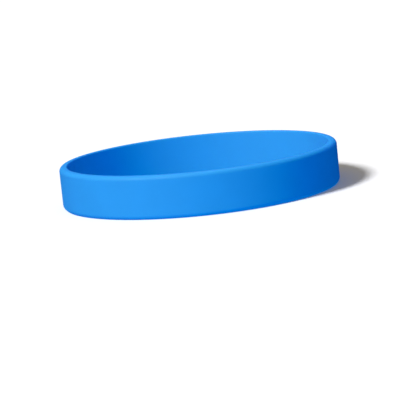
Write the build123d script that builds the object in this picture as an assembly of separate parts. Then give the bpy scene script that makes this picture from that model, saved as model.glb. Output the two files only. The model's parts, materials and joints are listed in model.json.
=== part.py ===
from build123d import *
import math
import os

# A silicone wristband, moulded in one piece as a closed loop with no clasp and no seam.
# The wall is straight from edge to edge. Its outer edges are well rounded, and its inner
# edges, where the mould's core met the cavity, only a little.
# Lengths are in millimetres. +Z runs along the loop's axis, and the origin is the middle
# of the lower edge ring, which the band rests on when it lies on its side.

# Driving dimensions
inner_circumference = 202.0  # around the inside of the loop, the usual adult size
band_width = 10.3  # from edge to edge, and so the height of the band as it lies
wall_thickness = 2.0
outer_edge_radius = 1.1  # round of the two outer edges
inner_edge_radius = 0.35  # smaller round of the two inner edges

# Sizes worked out from the driving dimensions
inner_radius = inner_circumference / (2 * math.pi)

# In a thinner wall an outer round takes two thirds of the wall at most, and an inner one a
# quarter, so that a flat ring is always left between them for the band to rest on.
outer_round = min(outer_edge_radius, wall_thickness * 2 / 3)
inner_round = min(inner_edge_radius, wall_thickness / 4)


def wall_section():
    """The wall cut through at one place: a tall rectangle with its four corners rounded."""
    from_inside_and_below = (Align.MIN, Align.MIN)
    square_wall = Pos(inner_radius, 0) * Rectangle(wall_thickness, band_width, align=from_inside_and_below)
    outer_corners = square_wall.vertices().group_by(Axis.X)[-1]
    rounded_outside = fillet(outer_corners, outer_round)
    inner_corners = rounded_outside.vertices().group_by(Axis.X)[0]
    return fillet(inner_corners, inner_round)


def band():
    """The whole loop: the wall's section carried once round the axis."""
    return revolve(Plane.XZ * wall_section(), Axis.Z, 360)


def main():
    os.makedirs("parts", exist_ok=True)
    export_step(band(), "parts/band.step")


main()
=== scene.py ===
import itertools
import json
import math
import bpy
from mathutils import Matrix, Vector


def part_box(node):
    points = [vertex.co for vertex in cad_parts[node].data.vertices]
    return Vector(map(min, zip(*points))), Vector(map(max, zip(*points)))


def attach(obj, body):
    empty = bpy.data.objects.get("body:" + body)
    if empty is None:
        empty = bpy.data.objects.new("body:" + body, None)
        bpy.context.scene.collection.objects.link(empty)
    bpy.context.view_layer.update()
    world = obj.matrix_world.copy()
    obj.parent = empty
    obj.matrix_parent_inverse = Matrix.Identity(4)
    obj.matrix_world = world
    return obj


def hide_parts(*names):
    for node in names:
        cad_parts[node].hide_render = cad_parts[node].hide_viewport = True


# A silicone wristband, moulded in one piece, lying on its side on a white floor.
# Lengths are in metres. Z is the loop's axis, and the floor is at height 0.

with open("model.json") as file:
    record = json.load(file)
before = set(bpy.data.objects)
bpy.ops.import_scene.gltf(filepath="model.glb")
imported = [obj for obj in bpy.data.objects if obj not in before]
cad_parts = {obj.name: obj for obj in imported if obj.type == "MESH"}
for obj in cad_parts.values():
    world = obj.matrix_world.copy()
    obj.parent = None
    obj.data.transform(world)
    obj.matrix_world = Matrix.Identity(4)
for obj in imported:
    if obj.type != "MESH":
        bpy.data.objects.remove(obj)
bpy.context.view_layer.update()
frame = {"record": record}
band_low, band_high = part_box("band")

MM = 0.001

# The band
wall_thickness = 2.0 * MM
outer_round = 1.1 * MM  # of the two outer edges
inner_round = 0.35 * MM  # of the two inner edges
outer_radius = band_high.x
inner_radius = outer_radius - wall_thickness
half_width = (band_high.z - band_low.z) / 2
middle_height = band_low.z + half_width

# How finely its surface is divided
steps_round_loop = 512
steps_per_outer_round = 12
steps_per_inner_round = 6
steps_up_wall = 12
steps_across_edge = 3

# The flat map of its surface, for baking the silicone
map_name = "OFBake"  # the name given to the map; the name that the export looks for
map_rows = 4  # which divide the steps round the loop evenly
map_gap = 0.01  # round each row, as a share of the map's side

# The silicone
silicone_blue = frame["record"]["materials"][0]["base_color"]
shade_variation = 0.015  # how much lighter and darker the blue gets
shade_patch = 7 * MM
satin_roughness = 0.6
roughness_variation = 0.04
roughness_patch = 4 * MM
smoother_at_edges = 0.06  # how much less rough the rounded edges are
refraction = 1.41
shine = 0.4  # how strongly it reflects, where 0.5 is plain plastic
grain_size = 0.16 * MM  # of the fine grain that the mould leaves
grain_depth = 0.006 * MM
ripple_size = 2.6 * MM  # of the slow unevenness of a rubber surface
ripple_depth = 0.012 * MM

# The camera, read from the band's outline in the photograph, which is a square of 420 pixels
frame_px = 420
focal_px = 2045
band_middle_px = Vector((199.66, 172.60))  # where the middle of the loop shows
band_radius_px = 138.96  # how large the outer radius shows
look_down = math.radians(9.488)  # of the camera's axis below the loop's plane
lean = math.radians(5.919)  # of the loop's axis to the left in the picture

# The floor
floor_half_size = 6.0  # wide enough to fill every view
floor_white = 0.85  # the share of the light that it gives back


def arc(centre_radius, centre_height, size, start, steps):
    """Points of a quarter circle in the wall's section, each as a radius and a height."""
    quarter = math.pi / 2
    angles = [start - quarter * step / steps for step in range(steps + 1)]
    return [(centre_radius + size * math.cos(a), centre_height + size * math.sin(a)) for a in angles]


def between(start, end, steps):
    """Points evenly spaced on a straight stretch of the section, without its two ends."""
    shares = [step / steps for step in range(1, steps)]
    return [(start[0] + (end[0] - start[0]) * s, start[1] + (end[1] - start[1]) * s) for s in shares]


def wall_outline():
    """The wall's section as a closed outline, clockwise from the lower inner edge."""
    low, high = band_low.z, band_high.z
    rounds = [
        (inner_radius + inner_round, low + inner_round, inner_round, -math.pi / 2, steps_per_inner_round),
        (inner_radius + inner_round, high - inner_round, inner_round, math.pi, steps_per_inner_round),
        (outer_radius - outer_round, high - outer_round, outer_round, math.pi / 2, steps_per_outer_round),
        (outer_radius - outer_round, low + outer_round, outer_round, 0, steps_per_outer_round),
    ]
    straight_steps = [steps_up_wall, steps_across_edge, steps_up_wall, steps_across_edge]
    corners = [arc(*values) for values in rounds]
    outline = []
    for number, corner in enumerate(corners):
        following = corners[(number + 1) % len(corners)]
        outline += corner + between(corner[-1], following[0], straight_steps[number])
    return outline


def on_map(share, start, size):
    """A place on the map: a share of the way along a stretch of it, with the gap at both ends."""
    return start + map_gap + share * (size - 2 * map_gap)


def unroll(mesh, outline):
    """Gives the band's mesh its flat map. The loop is cut into equal rows, and each holds the
    wall's outline unrolled downwards. The cut along the loop is at the bottom, where it rests."""
    count = len(outline)
    lengths = [math.dist(outline[i], outline[(i + 1) % count]) for i in range(count)]
    ends = list(itertools.accumulate(lengths))
    heights = [1] + [1 - end / ends[-1] for end in ends]
    steps_per_row = steps_round_loop // map_rows
    places = []
    for step in range(steps_round_loop):
        row, here = divmod(step, steps_per_row)
        ahead = here + 1
        for first, last in zip(heights, heights[1:]):
            for along, height in ((here, first), (here, last), (ahead, last), (ahead, first)):
                places.append(on_map(along / steps_per_row, 0, 1))
                places.append(on_map(height, row / map_rows, 1 / map_rows))
    mesh.uv_layers.new(name=map_name).uv.foreach_set("vector", places)


def make_band(material):
    """The loop's mesh: the wall's outline repeated round the axis and joined with quads."""
    outline = wall_outline()
    count = len(outline)
    points = []
    for step in range(steps_round_loop):
        angle = 2 * math.pi * step / steps_round_loop
        points += [(r * math.cos(angle), r * math.sin(angle), z) for r, z in outline]
    faces = []
    for step in range(steps_round_loop):
        here = step * count
        ahead = (step + 1) % steps_round_loop * count
        for i in range(count):
            j = (i + 1) % count
            faces.append((here + i, here + j, ahead + j, ahead + i))
    mesh = bpy.data.meshes.new("silicone_band")
    mesh.from_pydata(points, [], faces)
    mesh.update()
    mesh.shade_smooth()
    mesh.materials.append(material)
    unroll(mesh, outline)
    band = bpy.data.objects.new("silicone_band", mesh)
    bpy.context.scene.collection.objects.link(band)
    return band


def patches(tree, place, size, detail):
    """Random values from about 0 to 1 over the surface, in soft patches of the given size."""
    noise = tree.nodes.new("ShaderNodeTexNoise")
    noise.inputs["Scale"].default_value = 1 / size
    noise.inputs["Detail"].default_value = detail
    tree.links.new(place, noise.inputs["Vector"])
    return noise.outputs["Fac"]


def stretched(tree, value, old_range, new_range):
    """The value, taken smoothly from one range to another."""
    node = tree.nodes.new("ShaderNodeMapRange")
    node.interpolation_type = "SMOOTHSTEP"
    node.inputs["From Min"].default_value, node.inputs["From Max"].default_value = old_range
    node.inputs["To Min"].default_value, node.inputs["To Max"].default_value = new_range
    tree.links.new(value, node.inputs["Value"])
    return node.outputs["Result"]


def spread(tree, place, size, detail, new_range):
    """Soft patches over the surface with values that fill the given range."""
    common_values = (0.3, 0.7)  # where most of the random values lie
    return stretched(tree, patches(tree, place, size, detail), common_values, new_range)


def less(tree, first, second):
    """The first value less the second, which may be a plain number."""
    node = tree.nodes.new("ShaderNodeMath")
    node.operation = "SUBTRACT"
    tree.links.new(first, node.inputs[0])
    if isinstance(second, bpy.types.NodeSocket):
        tree.links.new(second, node.inputs[1])
    else:
        node.inputs[1].default_value = second
    return node.outputs["Value"]


def towards_edges(tree, place, most):
    """Nothing on the straight wall, growing over the outer rounds to the most at the edges."""
    axes = tree.nodes.new("ShaderNodeSeparateXYZ")
    tree.links.new(place, axes.inputs["Vector"])
    distance = tree.nodes.new("ShaderNodeMath")
    distance.operation = "ABSOLUTE"
    tree.links.new(less(tree, axes.outputs["Z"], middle_height), distance.inputs[0])
    return stretched(tree, distance.outputs["Value"], (half_width - outer_round, half_width), (0, most))


def mixed_shades(tree, share, first, second):
    """A colour between two, by the share."""
    mix = tree.nodes.new("ShaderNodeMix")
    mix.data_type = "RGBA"
    mix.inputs["A"].default_value = (*first, 1)
    mix.inputs["B"].default_value = (*second, 1)
    tree.links.new(share, mix.inputs["Factor"])
    return mix.outputs["Result"]


def relief(tree, height, depth, below=None):
    """A relief of the given depth, on top of another one where there is one."""
    bump = tree.nodes.new("ShaderNodeBump")
    bump.inputs["Distance"].default_value = depth
    tree.links.new(height, bump.inputs["Height"])
    if below:
        tree.links.new(below, bump.inputs["Normal"])
    return bump.outputs["Normal"]


def silicone():
    """Solid blue silicone rubber with an even satin surface."""
    material = bpy.data.materials.new("blue_silicone")
    material.use_nodes = True
    tree = material.node_tree
    shader = tree.nodes["Principled BSDF"]
    shader.inputs["IOR"].default_value = refraction
    shader.inputs["Specular IOR Level"].default_value = shine
    place = tree.nodes.new("ShaderNodeTexCoord").outputs["Object"]

    light_shade = [part * (1 + shade_variation) for part in silicone_blue]
    dark_shade = [part * (1 - shade_variation) for part in silicone_blue]
    shade = spread(tree, place, shade_patch, detail=2, new_range=(0, 1))
    tree.links.new(mixed_shades(tree, shade, dark_shade, light_shade), shader.inputs["Base Color"])

    rough_range = (satin_roughness - roughness_variation, satin_roughness + roughness_variation)
    rough = spread(tree, place, roughness_patch, detail=4, new_range=rough_range)
    smoothing = towards_edges(tree, place, smoother_at_edges)
    tree.links.new(less(tree, rough, smoothing), shader.inputs["Roughness"])

    ripples = relief(tree, patches(tree, place, ripple_size, detail=1), ripple_depth)
    grain = relief(tree, patches(tree, place, grain_size, detail=2), grain_depth, below=ripples)
    tree.links.new(grain, shader.inputs["Normal"])
    return material


def white_floor():
    """A plain white surface."""
    material = bpy.data.materials.new("white_floor")
    material.use_nodes = True
    shader = material.node_tree.nodes["Principled BSDF"]
    shader.inputs["Base Color"].default_value = (floor_white, floor_white, floor_white, 1)
    shader.inputs["Roughness"].default_value = 1.0
    shader.inputs["Specular IOR Level"].default_value = 0.0
    half = floor_half_size
    corners = [(-half, -half, 0), (half, -half, 0), (half, half, 0), (-half, half, 0)]
    mesh = bpy.data.meshes.new("floor")
    mesh.from_pydata(corners, [], [(0, 1, 2, 3)])
    mesh.materials.append(material)
    floor = bpy.data.objects.new("floor", mesh)
    bpy.context.scene.collection.objects.link(floor)
    # The band's own lamps stand for the light that a floor gives back, also from below it
    floor.visible_diffuse = False
    floor.visible_glossy = False
    floor.visible_shadow = False
    return floor


def make_camera():
    """A camera that shows the band with the photograph's perspective, place and lean."""
    camera = bpy.data.objects.new("camera", bpy.data.cameras.new("camera"))
    bpy.context.scene.collection.objects.link(camera)
    camera.data.lens = camera.data.sensor_width * focal_px / frame_px
    camera.data.clip_start = 0.01
    camera.data.clip_end = 50

    forward = Vector((0, math.cos(look_down), -math.sin(look_down)))
    right = Matrix.Rotation(lean, 3, forward) @ Vector((1, 0, 0))
    up = right.cross(forward)

    distance = outer_radius * focal_px / band_radius_px
    aside_px = band_middle_px - Vector((frame_px / 2, frame_px / 2))
    aside = aside_px * distance / focal_px
    camera.matrix_world = Matrix((right, up, -forward)).transposed().to_4x4()
    camera.location = Vector((0, 0, middle_height)) - forward * distance - right * aside.x + up * aside.y
    bpy.context.scene.camera = camera


def direction(round_to_left, height):
    """Where light comes from, in degrees: round to the left from the camera's side, and up."""
    turn = math.radians(round_to_left)
    rise = math.radians(height)
    return Vector((-math.sin(turn) * math.cos(rise), -math.cos(turn) * math.cos(rise), math.sin(rise)))


def only(thing):
    """A collection of one object, for a lamp that lights nothing else."""
    collection = bpy.data.collections.new("only_" + thing.name)
    collection.objects.link(thing)
    return collection


def add_lamp(name, lit, towards, width, colour, lights=True, reflected=False):
    """Light from one direction, spread over a round patch of sky of the given width in degrees.
    It lights the surface's own colour, shows in its shine, or both. A colour of 1 makes a
    white surface that faces the lamp show as plain white."""
    lamp = bpy.data.objects.new(name, bpy.data.lights.new(name, "SUN"))
    bpy.context.scene.collection.objects.link(lamp)
    lamp.data.energy = math.pi
    lamp.data.color = colour
    lamp.data.angle = math.radians(width)
    lamp.rotation_mode = "QUATERNION"
    lamp.rotation_quaternion = towards.to_track_quat("Z", "Y")
    lamp.visible_diffuse = lights
    lamp.visible_glossy = reflected
    lamp.light_linking.receiver_collection = lit


def make_light(band, floor):
    """Soft studio light from the front left, with white all round. The photograph's floor is
    lit past plain white, and its blue turns from azure to royal blue more than one plain light can
    turn it. So the band and the floor have lamps of their own, and both are tinted: the band's
    to follow that turn, and the floor's to keep its shadows grey beside the blue."""
    key = direction(52, 42)
    key_width = 14

    on_band = only(band)
    add_lamp("band_red_key", on_band, direction(58, 36), key_width, (1.05, 0.0, 0.22))
    add_lamp("band_green_key", on_band, direction(46, 42), key_width, (0.0, 0.67, 0.04))
    add_lamp("band_key_shine", on_band, key, key_width, (0.6, 0.6, 0.6), lights=False, reflected=True)
    add_lamp("band_fill", on_band, direction(20, 0), 180, (0.0, 0.44, 0.87), reflected=True)
    add_lamp("band_bounce", on_band, direction(0, -90), 60, (0.0, 0.25, 0.25))
    add_lamp("band_back", on_band, direction(180, 45), 90, (0.1, 0.27, 0.79))
    add_lamp("band_sheen", on_band, direction(180, 80), 40, (0.19, 0.2, 0.12), reflected=True)

    on_floor = only(floor)
    add_lamp("floor_key", on_floor, key, key_width, (1.4, 1.42, 1.5))
    add_lamp("floor_sky", on_floor, direction(0, 90), 180, (0.33, 0.305, 0.24))

    # The white all round only shows behind the band, and lights nothing
    world = bpy.data.worlds.new("white")
    bpy.context.scene.world = world
    world.use_nodes = True
    world.node_tree.nodes["Background"].inputs["Color"].default_value = (1, 1, 1, 1)
    world.cycles_visibility.diffuse = False
    world.cycles_visibility.glossy = False
    world.cycles_visibility.transmission = False
    world.cycles_visibility.scatter = False


make_camera()
floor = white_floor()
band = make_band(silicone())
make_light(band, floor)
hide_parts("band")
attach(band, "root")
bpy.context.scene.view_settings.view_transform = "Standard"
